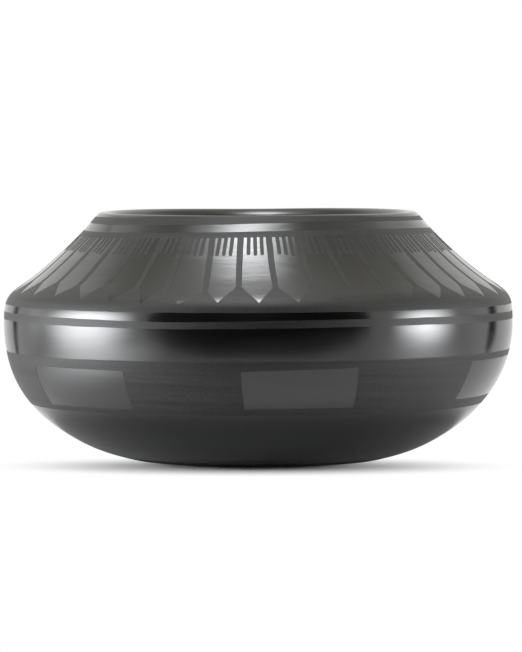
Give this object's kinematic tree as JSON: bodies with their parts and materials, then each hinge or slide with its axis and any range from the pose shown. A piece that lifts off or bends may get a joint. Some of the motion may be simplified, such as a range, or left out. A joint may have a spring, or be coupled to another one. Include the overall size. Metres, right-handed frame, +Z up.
{
  "type": "black pottery jar",
  "caption": "Wide low coil-built black pottery jar with sharp shoulder, open round mouth and matte painted feather band on burnished slip; holds or displays things.",
  "frame": {"origin": "centre of the flat foot, on the surface that the jar stands on", "axes": "+Z up along the jar's axis; -Y is the side that the picture shows"},
  "size_m": [0.2796, 0.2796, 0.135],
  "materials": {
    "fired_clay": "scraped, unpolished, smoke-blackened",
    "burnished_slip": "stone-burnished semi-gloss black, no glaze",
    "matte_slip": "matte painted slip"
  },
  "bodies": {
    "root": {"base_bowl": "fired_clay", "wall_coil_01": "fired_clay", "wall_coil_02": "fired_clay", "wall_coil_03": "fired_clay", "wall_coil_04": "fired_clay", "wall_coil_05": "fired_clay", "wall_coil_06": "fired_clay", "wall_coil_07": "fired_clay", "wall_coil_08": "fired_clay", "wall_coil_09": "fired_clay", "wall_coil_10": "fired_clay", "rim_coil": "fired_clay", "slip_coat": "burnished_slip", "matte_rim_band": "matte_slip", "matte_feather_band": "matte_slip", "matte_belt_line": "matte_slip", "matte_panel_band": "matte_slip"}
  },
  "joints": []
}
